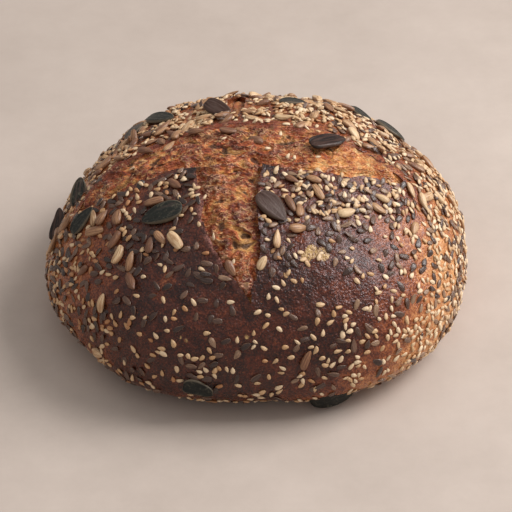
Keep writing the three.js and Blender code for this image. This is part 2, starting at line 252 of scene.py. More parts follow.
def inside_score(x, y):
    sides, front = inside_arm(x, y, SIDE_EDGES), inside_arm(-y, x, FRONT_EDGES)
    return np.maximum(sides, np.maximum(front, inside_back_arm(x, y)))


def lip(x, y):
    """How far the crust curls up beside the score. It is lower behind the side arms."""
    far = rise(across_side_arms(x, y), 0, 0.9) * rise(inside_arm(x, y, SIDE_EDGES), -EAR_REACH, 0)
    height = LIP_RISE + (EAR_RISE - LIP_RISE) * far
    return height * np.exp(np.minimum(0, inside_score(x, y)) / LIP_REACH)


def above_table(radius, d):
    z = d[:, 2]
    return np.where(z < 0, np.minimum(radius, BULGE_HEIGHT / np.maximum(-z, TINY)), radius)


NOISE_SHIFT = Vector((17.3, 5.1, 9.7))  # between the noises of one seed and the next


def roughness_of(points, size, octaves, seed):
    """Fractal noise at each point, about -1 to 1, with its largest lumps about size mm across."""
    shift = NOISE_SHIFT * seed
    return np.array([noise.fractal(Vector(p) / size + shift, 1.0, 2.0, octaves) for p in points.tolist()])


def crust_base(d):
    """The crust without its fine relief, as in the CAD source."""
    plain = plain_radius(d)
    curl = rise(d[:, 2], *LIP_FADE) * lip(plain * d[:, 0], plain * d[:, 1])
    return above_table(plain + WAVE_SIZE * spring_waves(d) + curl, d)


# Lumps of the baked skin: size across in millimetres, octaves, height in millimetres, and seed.
SKIN_LUMPS = ((14, 2, 0.55, 1), (4.5, 2, 0.34, 2), (1.9, 1, 0.12, 3))
SKIN_START = 3  # height above the table from which the lumps are whole


def crust_radius(d):
    radius = crust_base(d)
    points = d * radius[:, None]
    relief = np.zeros(len(d))
    for size, octaves, height, seed in SKIN_LUMPS:
        relief += height * roughness_of(points, size, octaves, seed)
    off_table = rise(points[:, 2], -BULGE_HEIGHT, SKIN_START - BULGE_HEIGHT)
    return above_table(radius + relief * off_table, d)


def crumb_level(x, y, inside):
    """Height of the smooth crumb above the plain crust. It climbs to the crust along the far edge."""
    near = CRUMB_NEAR + (CRUMB_TIP - CRUMB_NEAR) * rise(-y, *TIP_FROM)
    edge = near + (CRUMB_FAR - near) * rise(across_side_arms(x, y), -0.3, 0.7)
    edge = edge + (CRUMB_BACK - edge) * rise(y, *BACK_FROM)
    centre = np.where(y > BACK_FROM[0], edge, CRUMB_CENTRE)
    return edge + (centre - edge) * rise(inside, 0, CRUMB_RISE_REACH)


def crumb_base(d):
    """The crumb without its relief."""
    plain = plain_radius(d)
    x, y = plain * d[:, 0], plain * d[:, 1]
    inside = inside_score(x, y)
    hidden = CRUMB_HIDDEN * rise(-inside, *CRUMB_SINK)
    return plain + WAVE_SIZE * spring_waves(d) + crumb_level(x, y, inside) - hidden


def crumb_radius(d):
    radius = crumb_base(d)
    inside = inside_score(radius * d[:, 0], radius * d[:, 1])
    shown = inside > -PLUG_MARGIN - 2
    radius[shown] += crumb_relief(d[shown] * radius[shown, None], inside[shown])
    return above_table(radius, d)


def crumb_relief(points, inside):
    """Torn crumb: rumples, folds, hollows where bubbles have torn open, and layers along the far edge."""
    relief = []
    across = across_side_arms(points[:, 0], points[:, 1])
    far_edge = rise(across, 0.25, 0.65) * rise(-inside, -5.5, -1.5)
    down_front = rise(-points[:, 1], 16, 22)
    for p, edge, front, layered in zip(points.tolist(), inside.tolist(), down_front, far_edge):
        p = Vector(p)
        q = p + noise.noise_vector(p / TWIST_SIZE) * TWIST
        rumple = noise.fractal(p / RUMPLE_SIZE, 1.0, 2.0, 3)
        creases = noise.ridged_multi_fractal(q / CREASE_SIZE, 0.9, 2.1, 2, 1.0, 1.8)
        drawn = Vector((q.x / FOLD_LENGTH + front * q.x / FRONT_FOLD, q.y / FOLD_SIZE, q.z / FOLD_SIZE))
        folds = noise.ridged_multi_fractal(drawn, 1.15, 2.1, 3, 1.0, 1.8)
        gate = 0.5 + 0.5 * noise.noise(p / GATE_SIZE)
        hollow = max(0.0, 1 - noise.voronoi(q / BUBBLE_SIZE)[0][0] / BUBBLE_REACH)
        pit = max(0.0, noise.noise(q / PIT_SIZE + PIT_SHIFT) - PIT_LEVEL)
        layers = noise.noise(Vector((p.x / LAYER_LENGTH, edge / LAYER_SIZE, LAYER_SHIFT)))
        soft = RUMPLE * rumple + (FOLD_LEAST + FOLD_MORE * gate) * (folds - 1.0)
        soft -= BUBBLE * hollow * hollow + PIT * pit - CREASE * (creases - 1.0)
        relief.append(soft * (1 - LAYER_CALM * layered) + LAYER * layers * layered)
    return np.array(relief) * rise(inside, -4, 1)


def directions_to(points):
    return unit(points - MIDDLE)


def geodesic(detail, crowding):
    """Directions and triangles of a ball whose icosahedron's edges are cut into detail parts."""
    bm = bmesh.new()
    bmesh.ops.create_icosphere(bm, subdivisions=1, radius=1)
    corners = np.array([v.co[:] for v in bm.verts])
    faces = [[v.index for v in f.verts] for f in bm.faces]
    bm.free()
    row, column = np.array([(i, j) for i in range(detail + 1) for j in range(detail + 1 - i)]).T
    index = np.full((detail + 2, detail + 2), -1)
    index[row, column] = np.arange(len(row))
    weights = np.stack([row, column, detail - row - column], axis=1) / detail
    here, below, aside, beyond = (index[row + i, column + j] for i, j in ((0, 0), (1, 0), (0, 1), (1, 1)))
    ups = np.stack([here, below, aside], axis=1)[row + column < detail]
    downs = np.stack([below, beyond, aside], axis=1)[row + column < detail - 1]
    triangles = np.concatenate([ups, downs])
    points = np.concatenate([weights @ corners[face] for face in faces])
    all_triangles = np.concatenate([triangles + len(row) * k for k in range(len(faces))])
    grid = np.round(points * WELD).astype(int)
    _, first, same = np.unique(grid, axis=0, return_index=True, return_inverse=True)
    x, y, z = unit(points[first]).T
    turn = np.arccos(np.clip(z, -1, 1))
    turn = turn * (1 - crowding * (1 - turn / math.pi))
    flat = np.maximum(np.hypot(x, y), TINY)
    d = np.stack([np.sin(turn) * x / flat, np.sin(turn) * y / flat, np.cos(turn)], axis=1)
    return d, same.reshape(-1)[all_triangles]


def add_object(name, data):
    obj = bpy.data.objects.new(name, data)
    bpy.context.scene.collection.objects.link(obj)
    return obj


def add_mesh(name, points, faces):
    """A mesh object from points in millimetres."""
    mesh = bpy.data.meshes.new(name)
    faces = np.asarray(faces)
    mesh.vertices.add(len(points))
    mesh.vertices.foreach_set("co", (points * MM).astype(np.float32).ravel())
    mesh.loops.add(faces.size)
    mesh.loops.foreach_set("vertex_index", faces.astype(np.int32).ravel())
    mesh.polygons.add(len(faces))
    mesh.polygons.foreach_set("loop_start", np.arange(0, faces.size, faces.shape[1], dtype=np.int32))
    mesh.update(calc_edges=True)
    mesh.validate()
    return add_object(name, mesh)


def points_of(obj):
    co = np.empty(len(obj.data.vertices) * 3, np.float32)
    obj.data.vertices.foreach_get("co", co)
    return co.reshape(-1, 3).astype(float) / MM


def give_values(obj, name, values):
    """A number for each vertex, which the materials read by its name."""
    attribute = obj.data.attributes.new(name, "FLOAT", "POINT")
    attribute.data.foreach_set("value", np.asarray(values, np.float32))


def combine(body, others, operation):
    """Joins, cuts or overlaps body with each of the others, which are used up."""
    for other in others:
        modifier = body.modifiers.new(operation, "BOOLEAN")
        modifier.operation = operation
        modifier.object = other
        modifier.solver = "MANIFOLD"
    depsgraph = bpy.context.evaluated_depsgraph_get()
    mesh = bpy.data.meshes.new_from_object(body.evaluated_get(depsgraph))
    body.modifiers.clear()
    old = body.data
    body.data = mesh
    bpy.data.meshes.remove(old)
    mesh.name = body.name
    for other in others:
        bpy.data.objects.remove(other)


def side_arms(t):
    """Middle line and half width of the side arms at a share t from their left end to their right."""
    x = SIDE_EDGES[0][0] + t * (SIDE_EDGES[-1][0] - SIDE_EDGES[0][0])
    near, far = station_edges(x, SIDE_EDGES)
    return np.stack([x, (near + far) / 2], axis=1), (far - near) / 2


def front_arm(t):
    down = FRONT_EDGES[0][0] + t * (FRONT_EDGES[-1][0] - FRONT_EDGES[0][0])
    left, right = station_edges(down, FRONT_EDGES)
    return np.stack([(left + right) / 2, -down], axis=1), (right - left) / 2


def back_arm(t):
    middle = np.stack([np.full_like(t, BACK_X), BACK_START_Y + t * BACK_REACH], axis=1)
    return middle, BACK_HALF_WIDTH * np.sin(math.pi * t)


def ragged(along, level, seed):
    """How far the torn edge wanders at each place along it, at a height above the crust."""
    up, shift = level * RAGGED_UPWARD, seed * RAGGED_SHIFT
    return sum(
        size * np.array([noise.noise(Vector((a / wave, up / wave, shift))) for a in along])
        for wave, size in RAGGED
    )


def arm_cutter(name, arm, length, across, lean, margin, depth):
    """The closed body that opens one arm. Its rings cross the arm, and it follows the dome."""
    count = int(length / CUT_STEP)
    t = np.linspace(*CUT_ENDS, count)
    middle, half = arm(t)
    levels = (-depth, *CUT_LEVELS, CUT_ABOVE)
    lines = []
    for sign, order in ((1, levels), (-1, levels[::-1])):
        for level in order:
            wander = ragged(t * length, level, sign + 3)
            reach = np.maximum(half, CUT_LEAST) + margin + wander * rise(half, 0, RAGGED_FROM)
            edge = middle + sign * reach[:, None] * np.array(across)
            height = plain_height(*edge.T) + level
            edge = edge + (0, -lean * max(level, LEAN_DEEPEST))
            lines.append(np.column_stack([edge, height]))
    points = np.stack(lines, axis=1).reshape(-1, 3) + (MIDDLE[0], MIDDLE[1], 0)
    width = len(lines)
    bm = bmesh.new()
    verts = [bm.verts.new(p * MM) for p in points]
    rings = [verts[i * width : (i + 1) * width] for i in range(count)]
    for one, other in zip(rings, rings[1:]):
        for j in range(width):
            k = (j + 1) % width
            bm.faces.new((one[j], one[k], other[k], other[j]))
    bm.faces.new(rings[0][::-1])
    bm.faces.new(rings[-1])
    bmesh.ops.recalc_face_normals(bm, faces=bm.faces[:])
    bmesh.ops.triangulate(bm, faces=bm.faces[:])
    mesh = bpy.data.meshes.new(name)
    bm.to_mesh(mesh)
    bm.free()
    return add_object(name, mesh)


def cutters(margin=0.0, depth=CUT_DEPTH):
    side_length = SIDE_EDGES[-1][0] - SIDE_EDGES[0][0]
    front_length = FRONT_EDGES[-1][0] - FRONT_EDGES[0][0]
    return [
        arm_cutter("cut_sides", side_arms, side_length, (0, 1), SIDE_LEAN, margin, depth),
        arm_cutter("cut_front", front_arm, front_length, (1, 0), 0, margin, depth),
        arm_cutter("cut_back", back_arm, BACK_REACH, (1, 0), 0, margin, depth),
    ]


def make_crust():
    d, faces = geodesic(CRUST_DETAIL, CRUST_CROWDING)
    crust = add_mesh("crust", d * crust_radius(d)[:, None] + MIDDLE, faces)
    combine(crust, cutters(), "DIFFERENCE")
    return crust


def make_crumb():
    d, faces = geodesic(CRUMB_DETAIL, CRUMB_CROWDING)
    crumb = add_mesh("torn_crumb", d * crumb_radius(d)[:, None] + MIDDLE, faces)
    plug, *others = cutters(PLUG_MARGIN, PLUG_DEPTH)
    combine(plug, others, "UNION")
    combine(crumb, [plug], "INTERSECT")
    return crumb


def seen_at(entries):
    """The directions from the loaf's middle to what the photograph shows at each entry's pixel.

    A pixel just outside the loaf gives the nearest place on its outline.
    """
    pixels = np.array([entry[:2] for entry in entries], float)
    across, down = (pixels - FRAME_PIXELS / 2).T / (PIXELS_PER_MM * DISTANCE)
    rays = unit(SIGHT + np.outer(across, [1, 0, 0]) - np.outer(down, PICTURE_UP))
    way = np.full(len(rays), DISTANCE - SEARCH / 2)
    nearest = way
    least = np.full(len(rays), np.inf)
    for _ in range(int(SEARCH / SEARCH_STEP)):
        points = CAMERA + rays * way[:, None]
        gap = np.linalg.norm(points - MIDDLE, axis=1) - crust_base(directions_to(points))
        nearest = np.where(gap < least, way, nearest)
        least = np.minimum(gap, least)
        way = way + np.where(least > TOUCH, SEARCH_STEP * np.clip(gap, 0, 1), 0)
    return directions_to(CAMERA + rays * nearest[:, None])


def surface_frames(d, spins, base=crust_base, rough=crust_radius):
    """Where the surface lies in each direction, and there the length, width and outward axes of a seed."""
    aside = unit(np.cross([0, 0, 1.0], d))
    along = np.cross(d, aside)

    def at(v):
        v = unit(v)
        return v * base(v)[:, None]

    across = at(d + NORMAL_STEP * aside) - at(d - NORMAL_STEP * aside)
    upward = at(d + NORMAL_STEP * along) - at(d - NORMAL_STEP * along)
    normal = unit(np.cross(across, upward))
    east = unit(aside - normal * (aside * normal).sum(axis=1, keepdims=True))
    north = np.cross(normal, east)
    forward = east * np.cos(spins)[:, None] + north * np.sin(spins)[:, None]
    return d * rough(d)[:, None] + MIDDLE, forward, np.cross(normal, forward), normal


RIM_PLACE, RIM_WIDTH, RIM_SHARE = 0.8, 0.16, 0.4  # the raised rim of a flat seed, and the flat between


def kernel(rings, sides, tip, butt, squareness=2.0, rim=0.0):
    """A seed that reaches 1 from its middle, pointed towards +X: points, faces, and places across it."""
    u = -np.cos(np.linspace(0, math.pi, rings + 1))[1:-1]
    profile = (1 - u) ** tip * (1 + u) ** butt
    profile /= profile.max()
    angle = np.linspace(0, 2 * math.pi, sides, endpoint=False)
    y = np.cos(angle)
    z = np.sign(np.sin(angle)) * np.abs(np.sin(angle)) ** (2 / squareness)
    bulge = 1 + rim * (np.exp(-(((np.abs(y) - RIM_PLACE) / RIM_WIDTH) ** 2)) - RIM_SHARE)
    ring = np.stack([np.zeros(sides), y, z * bulge], axis=1)
    body = np.concatenate([ring * [1, p, p] + [v, 0, 0] for v, p in zip(u, profile)])
    points = np.concatenate([[[-1, 0, 0]], body, [[1, 0, 0]]])
    last = len(points) - 1
    faces = []
    for first in range(1, last - sides, sides):
        for j in range(sides):
            a, b = first + j, first + (j + 1) % sides
            faces += [(a, b + sides, b), (a, a + sides, b + sides)]
    for j in range(sides):
        k = (j + 1) % sides
        faces += [(0, 1 + j, 1 + k), (last, last - sides + k, last - sides + j)]
    return points, np.array(faces), np.concatenate([[0], np.tile(y, len(u)), [0]])


WOBBLE = 0.06  # how uneven the seeds are
WOBBLE_PACE = 2.2
BEND = 0.06


class Kind:
    """One kind of seed: its size in millimetres, its shapes, how it lies, and the places of its seeds."""

    def __init__(self, name, size, shapes, spread, sink, seed, ride=0.0):
        self.name, self.size, self.shapes = name, np.array(size), shapes
        self.spread, self.sink, self.ride = spread, sink, ride
        self.rng = np.random.default_rng(seed)
        self.places = []

    def build(self):
        """All the seeds of the kind as one mesh."""
        columns = (np.array(column) for column in zip(*self.places))
        position, forward, side, normal, share, lift, tint = columns
        first_shape, faces, across = self.shapes[0]
        n, m = len(share), len(across)
        size = self.size * share[:, None] * (1 + self.spread * self.rng.uniform(-1, 1, (n, 3))) / 2
        points = np.array([shape[0] for shape in self.shapes])[self.rng.integers(len(self.shapes), size=n)]
        pace = self.rng.normal(0, WOBBLE_PACE, (n, 1, 3))
        phase = self.rng.uniform(0, 2 * math.pi, (n, 1))
        wobble = 1 + WOBBLE * np.sin((points * pace).sum(axis=2) + phase)
        local = points * wobble[..., None] * size[:, None, :]
        bend = self.rng.normal(0, BEND, (n, 2))
        local[:, :, 1] += bend[:, :1] * local[:, :, 0] ** 2 / size[:, :1]
        local[:, :, 2] += bend[:, 1:] * local[:, :, 0] ** 2 / size[:, :1]
        local[:, :, 2] += (lift + size[:, 2] * (1 - 2 * self.sink))[:, None]
        world = position[:, None]
        for i, axis in enumerate((forward, side, normal)):
            world = world + local[..., i, None] * axis[:, None]
        all_faces = (faces + np.arange(n)[:, None, None] * m).reshape(-1, 3)
        obj = add_mesh(self.name, world.reshape(-1, 3), all_faces)
        give_values(obj, "tint", np.repeat(tint, m))
        give_values(obj, "along", np.tile(first_shape[:, 0], n))
        give_values(obj, "across", np.tile(across, n))
        obj.data.shade_smooth()
        return obj


def tilted(forward, side, normal, lean):
    """The same axes, leaned over by a pair of slopes along and across the seed."""
    normal = unit(normal + lean[0] * forward + lean[1] * side)
    forward = unit(forward - normal * (forward @ normal))
    return forward, np.cross(normal, forward), normal


WHOLE = (0.85, 0.45)  # how fast a seed tapers to its tip and to its other end
ROUNDED = (0.6, 0.42)
BROKEN = (0.28, 0.24)
OVAL = (0.62, 0.38)
RIDGED = 1.45  # how square a seed's section is: 2 is an ellipse
BLOCKY = 2.8


def make_kinds():
    pumpkin = [kernel(20, 32, *OVAL, 2.6, 0.5)]
    sunflower = [kernel(10, 14, *taper, RIDGED) for taper in (WHOLE, WHOLE, ROUNDED)]
    sunflower += [kernel(10, 14, *taper, BLOCKY) for taper in (ROUNDED, BROKEN)]
    linseed = [kernel(6, 10, *taper, 2.2, 0.25) for taper in (WHOLE, ROUNDED)]
    sesame = [kernel(5, 8, *taper) for taper in (WHOLE, ROUNDED)]
    return (
        Kind("pumpkin_seeds", (16, 8.6, 2.4), pumpkin, spread=0.05, sink=0.2, seed=1, ride=0.1),
        Kind("sunflower_kernels", (7.2, 3.3, 2.0), sunflower, spread=0.16, sink=0.18, seed=2),
        Kind("linseed", (4.3, 2.15, 0.85), linseed, spread=0.14, sink=0.16, seed=3),
        Kind("sesame_seeds", (2.8, 1.66, 0.9), sesame, spread=0.15, sink=0.15, seed=4),
    )


PUMPKIN, SUNFLOWER, LINSEED, SESAME = make_kinds()

# The pumpkin seeds where the photograph shows them: pixel across, pixel down, degrees of turn
# anticlockwise, share of the usual size, how far turned from the crust's own slope to face the camera,
# tint, and millimetres out of the crust.
PUMPKIN_PIXELS = (
    (162, 215, 198, 1.08, 0, 0.3, 0.3), (272, 208, -47, 1.03, 0, 0.74, 0.3),
    (80, 194, 82, 0.78, 0.95, 0.4, 2.7), (60, 225, 80, 0.84, 0.45, 0.9, 0.8),
    (84, 221, 51, 0.82, 0.15, 0.25, 0.8), (162, 120, -4, 0.95, 0.05, 0.1, 0.6),
    (220, 112, -30, 0.9, 0.5, 0.8, 0.9), (327, 144, 10, 0.98, 0, 0.9, 0.8),
    (293, 104, -5, 0.7, 0.1, 0.35, 0.3), (360, 114, -40, 0.75, 0.2, 0.15, 0.5),
    (389, 133, -38, 0.95, 0.15, 0.2, 0.5), (199, 387, -18, 0.75, 0.35, 0.05, 0.2),
    (333, 397, 14, 1.05, 0.45, 0, 0.4),
)
BACK_PUMPKINS = 9
BACK_SPAN = (36, 146)
BACK_DOWN = (68, 84)
BACK_SCATTER = 6
BACK_SEED = 17
SIZE_SPREAD = 0.12


def back_pumpkins():
    """The pumpkin seeds round the back, as in the CAD source: degrees down, round and of turn, and share."""
    draw = random_from(BACK_SEED)
    for i in range(BACK_PUMPKINS):
        down = BACK_DOWN[i % 2] + BACK_SCATTER * (2 * draw() - 1)
        round_ = BACK_SPAN[0] + (BACK_SPAN[1] - BACK_SPAN[0]) * (i + 0.5) / BACK_PUMPKINS
        yield down, round_, 360 * draw(), 1 - SIZE_SPREAD * draw()


# Sunflower kernels where the photograph shows them: pixel across, pixel down, degrees of turn anticlockwise.
SUNFLOWER_PIXELS = (
    (175, 185, -35), (147, 153, 5), (136, 144, 55), (168, 146, 35), (197, 134, 3), (206, 119, 20),
    (139, 124, 30), (95, 219, 80), (104, 219, 60), (118, 218, 85), (96, 232, 20), (154, 203, 20),
    (161, 239, -50), (176, 241, -50), (116, 241, 60), (151, 246, 80), (68, 224, 50), (56, 244, 70),
    (88, 172, 40), (228, 131, 8), (256, 138, 170), (290, 205, -60), (299, 212, 90), (318, 193, -55),
    (314, 180, -20), (324, 172, -60), (315, 117, 75), (298, 229, 10), (276, 240, 85), (292, 181, -30),
    (294, 100, 10), (318, 99, -30), (284, 120, -10), (349, 127, -30), (353, 135, -40), (373, 145, -55),
    (347, 214, 5), (410, 191, -70), (426, 198, 20), (328, 110, -50), (339, 113, -40), (426, 165, -45),
    (120, 256, 70), (131, 262, 80), (132, 283, -60), (102, 303, 85), (99, 353, -30), (305, 359, 65),
    (165, 128, 40), (105, 166, 45), (172, 108, 40), (289, 98, -15), (344, 109, -20), (230, 269, -60),
    (262, 263, 60),
)

# How thickly the seeds lie, read off the photograph: pixel across, pixel down, then sesame, linseed and
# sunflower kernels for each square centimetre, and how far they pile up.
THICKNESS_SEEN = (
    (110, 235, 6.5, 6.5, 0, 0.3), (70, 280, 7, 7.5, 0.05, 0.1), (75, 255, 7.5, 7, 0.1, 0.2),
    (110, 275, 3.5, 3.8, 0, 0.1), (120, 330, 6.2, 1.8, 0, 0.1), (75, 325, 6, 4.5, 0, 0),
    (150, 290, 0.8, 1.6, 0, 0), (150, 372, 3.6, 1.6, 0, 0), (160, 230, 4, 6, 0, 0.3),
    (175, 190, 7, 7, 0, 0.3), (200, 250, 2, 3.4, 0, 0.1), (185, 275, 1.1, 2.2, 0, 0),
    (200, 320, 4, 2, 0, 0), (265, 325, 3, 0.8, 0, 0), (260, 375, 3.8, 1.5, 0, 0), (230, 396, 5, 1.6, 0, 0),
    (285, 200, 9, 7, 0.1, 0.4), (290, 250, 3.2, 4.2, 0.05, 0.1), (340, 195, 14, 7.5, 0.3, 0.4),
    (390, 200, 10, 7, 0.3, 0.3), (355, 245, 2.6, 4, 0, 0), (320, 300, 1.1, 0.4, 0, 0),
    (385, 285, 1.6, 2, 0, 0), (315, 362, 7, 1.4, 0, 0.1), (370, 355, 5, 1.3, 0, 0),
    (360, 380, 4.6, 1.3, 0, 0), (420, 320, 11, 2.6, 0, 0.1), (410, 270, 3, 2.6, 0, 0),
    (450, 240, 12, 5.5, 0.1, 0.2), (452, 290, 13, 4, 0, 0.1), (85, 180, 6, 4, 0.6, 0.4),
    (130, 142, 10, 3, 2, 0.85), (200, 112, 17, 2.6, 1.3, 1), (290, 110, 21, 2.4, 0.8, 1),
    (360, 125, 12, 3.8, 0.9, 0.9), (420, 165, 8, 4.8, 0.6, 0.5),
)
# The same for what the photograph doesn't show, with degrees down and degrees round in place of the pixel.
THICKNESS_UNSEEN = (
    (60, 90, 8, 3, 1.6, 0.8), (75, 40, 5.5, 3, 0.7, 0.4), (75, 140, 5.5, 3, 0.7, 0.4),
    (95, 90, 4, 2.2, 0.2, 0.1), (100, 0, 4.5, 2, 0.1, 0), (100, 180, 4, 2, 0.1, 0),
    (112, -90, 3.5, 1, 0, 0), (118, 90, 1.5, 0.8, 0, 0),
)
# Sesame seeds that lie on the crumb: pixel across, pixel down, degrees of turn anticlockwise.
STRAY_PIXELS = (
    (281, 132, 80), (268, 146, 10), (288, 156, 60), (295, 156, 80), (319, 156, 0), (224, 137, 30),
    (203, 195, 60), (213, 236, 80), (131, 168, 10), (233, 262, 80),
)
STRAY_TINT = 0.9
PAINTED_SIDE_LIGHT = 0.22  # painted light and shade: seeds are painted this much paler at the lit right edge and darker at the shaded left
KERNEL_SHARE = 1.08  # size of the kernels placed one by one
KERNEL_LIFT = 0.35  # millimetres by which they stand out
LEAN = 0.15  # slope by which seeds lie unevenly
PILE_LEAN = 0.4
MOST_PILED = 2.2  # millimetres above the crust
PILE_STEP = 0.6  # share of the height below it that a piled seed is raised by
OVERLAP = 0.8  # share of two seeds' reach within which one lies on the other
CLUMPING = 1.1
CLUMP_SIZE = 11  # seeds lie in clumps of about this size
THICKNESS_BLUR = math.radians(7)
FAR_WEIGHT, FAR_REACH = 1e-4, 0.05  # how far away readings count where none is near
THROWS = 60000
LOWEST_THROW = -0.75  # z of the lowest direction in which a seed is thrown
TRIES = 5
NUDGE = 0.03  # radians by which a seed that found no room is moved
# Millimetres that scattered seeds keep from the torn edge and from the table.
CLEAR = {"sunflower_kernels": (0.9, 4.8), "linseed": (0.6, 3.2), "sesame_seeds": (0.4, 2.3)}
ON_CRUMB = {"base": crumb_base, "rough": crumb_radius}


def read_thickness():
    """A function that blends the readings of how thickly the seeds lie over the whole loaf."""
    unseen = direction_at(*np.array([entry[:2] for entry in THICKNESS_UNSEEN], float).T)
    spots = np.concatenate([seen_at(THICKNESS_SEEN), unseen])
    readings = np.array([entry[2:] for entry in THICKNESS_SEEN + THICKNESS_UNSEEN])

    def thickness_at(d):
        angle = np.arccos(np.clip(d @ spots.T, -1, 1))
        weight = np.exp(-((angle / THICKNESS_BLUR) ** 2)) + FAR_WEIGHT / (angle + FAR_REACH) ** 2
        return weight @ readings / weight.sum(axis=1, keepdims=True)

    return thickness_at


class Bed:
    """The seeds that lie on the loaf so far, so that the next ones keep clear or lie on top."""

    def __init__(self):
        self.rows = np.zeros((0, 5))  # place, reach, and height of the top above the crust

    def lift_at(self, spot, reach, pile, chance):
        """How high a seed must lie there, or None where it has no room."""
        gap = np.linalg.norm(self.rows[:, :3] - spot, axis=1) / (self.rows[:, 3] + reach)
        tops = self.rows[gap < OVERLAP, 4]
        if not len(tops):
            return 0.0
        if chance > pile or tops.max() > MOST_PILED:
            return None
        return float(tops.max()) * PILE_STEP

    def add(self, spot, reach, top):
        self.rows = np.vstack([self.rows, [*spot, reach, top]])


def place(kind, bed, d, spin, share, pile=0, slope=None, tint=None, lift=0.0, seen=None, **surface):
    """Lays a seed on the loaf. Without a given slope it needs room there, and lies a little unevenly.

    Seen holds the degrees of turn in the picture and how far the seed is turned to the camera. The top of
    a seed placed one by one counts as too high for others to lie on.
    """
    position, forward, side, normal = (a[0] for a in surface_frames(d[None], np.array([spin]), **surface))
    length, width, height = kind.size * share
    reach = (length + width) / 4
    by_hand = slope is not None
    if not by_hand:
        lift = bed.lift_at(position, reach, pile, kind.rng.random())
        if lift is None:
            return False
        slope = kind.rng.normal(0, LEAN + PILE_LEAN * pile * min(1.0, lift), 2)
    lift += kind.ride
    forward, side, normal = tilted(forward, side, normal, slope)
    if seen is not None:
        forward, side, normal = axes_seen(normal, *seen)
    if tint is None:
        # painted light: the tint drifts paler towards the lit right and darker towards the shaded left
        tint = min(1, max(0, kind.rng.random() + PAINTED_SIDE_LIGHT * position[0] / HALF_WIDTH))
    kind.places.append((position, forward, side, normal, share, lift, tint))
    bed.add(position, reach, MOST_PILED + 1 if by_hand else lift + height * PILE_STEP)
    return True


def axes_seen(normal, degrees, facing):
    """The axes of a seed that points a given way in the picture and is partly turned to face the camera."""
    normal = unit((1 - facing) * normal - facing * SIGHT)
    wanted = np.array([math.cos(math.radians(degrees)), 0, 0]) + PICTURE_UP * math.sin(math.radians(degrees))
    forward = unit(wanted - SIGHT * (wanted @ normal) / (SIGHT @ normal))
    return forward, np.cross(normal, forward), normal


def spin_seen(d, degrees):
    """The turn on the crust that a turn in the picture stands for."""
    _, east, north, normal = (a[0] for a in surface_frames(d[None], np.zeros(1)))
    forward, _, _ = axes_seen(normal, degrees, 0)
    return math.atan2(forward @ north, forward @ east)


def may_lie(kind, d):
    """Where seeds of this kind may lie: clear of the score and of the table."""
    from_edge, from_table = CLEAR[kind.name]
    plain = plain_radius(d)
    clear = inside_score(plain * d[:, 0], plain * d[:, 1]) < -from_edge
    return clear & (crust_base(d) * d[:, 2] + BULGE_HEIGHT > from_table)


def scatter(kind, bed, thickness_at, column):
    """Throws seeds over the loaf as thickly as was read off the photograph, in clumps."""
    z = kind.rng.uniform(LOWEST_THROW, 1, THROWS)
    turn = kind.rng.uniform(0, 2 * math.pi, THROWS)
    flat = np.sqrt(1 - z * z)
    d = np.stack([flat * np.cos(turn), flat * np.sin(turn), z], axis=1)
    _, _, _, normal = surface_frames(d, np.zeros(THROWS), rough=crust_base)
    radius = crust_base(d)
    ball_share = (1 - LOWEST_THROW) * 2 * math.pi / THROWS
    square_cm = radius**2 / np.maximum((normal * d).sum(axis=1), 0.2) * ball_share / 100
    values = thickness_at(d)
    clumps = 1 + CLUMPING * roughness_of(d * radius[:, None], CLUMP_SIZE, 2, column + 5)
    kept = kind.rng.random(THROWS) < values[:, column] * square_cm * clumps
    for i in np.flatnonzero(kept & may_lie(kind, d)):
        share = 1 + SIZE_SPREAD * kind.rng.uniform(-1, 1)
        spot = d[i]
        for _ in range(TRIES):
            free = may_lie(kind, spot[None])[0]
            if free and place(kind, bed, spot, kind.rng.uniform(0, 7), share, values[i, 3]):
                break
            spot = unit(spot + kind.rng.normal(0, NUDGE, 3))


def make_seeds():
    bed = Bed()
    for d, (_, _, degrees, share, facing, tint, lift) in zip(seen_at(PUMPKIN_PIXELS), PUMPKIN_PIXELS):
        place(PUMPKIN, bed, d, 0, share, slope=(0, 0), tint=tint, lift=lift, seen=(degrees, facing))
    for down, round_, spin, share in back_pumpkins():
        place(PUMPKIN, bed, direction_at(down, round_), math.radians(spin), share, slope=(0, 0))
    for d, (_, _, degrees) in zip(seen_at(SUNFLOWER_PIXELS), SUNFLOWER_PIXELS):
        share = KERNEL_SHARE + SIZE_SPREAD * SUNFLOWER.rng.uniform(-1, 1)
        slope = SUNFLOWER.rng.normal(0, LEAN, 2)
        x, y, _ = plain_radius(d[None])[0] * d
        surface = ON_CRUMB if inside_score(x, y) > 0 else {}
        place(SUNFLOWER, bed, d, spin_seen(d, degrees), share, slope=slope, lift=KERNEL_LIFT, **surface)
    for d, (_, _, degrees) in zip(seen_at(STRAY_PIXELS), STRAY_PIXELS):
        slope = SESAME.rng.normal(0, LEAN, 2)
        place(SESAME, bed, d, spin_seen(d, degrees), 1, slope=slope, tint=STRAY_TINT, **ON_CRUMB)
    thickness_at = read_thickness()
    for kind, column in ((SUNFLOWER, 2), (LINSEED, 1), (SESAME, 0)):
        scatter(kind, bed, thickness_at, column)
    return [kind.build() for kind in (PUMPKIN, SUNFLOWER, LINSEED, SESAME)]


def linear(*colour):
    """A colour of a picture, 0 to 255, as the linear colour that a shader takes."""
    share = np.array(colour) / 255
    return (*np.where(share <= 0.04045, share / 12.92, ((share + 0.055) / 1.055) ** 2.4), 1)


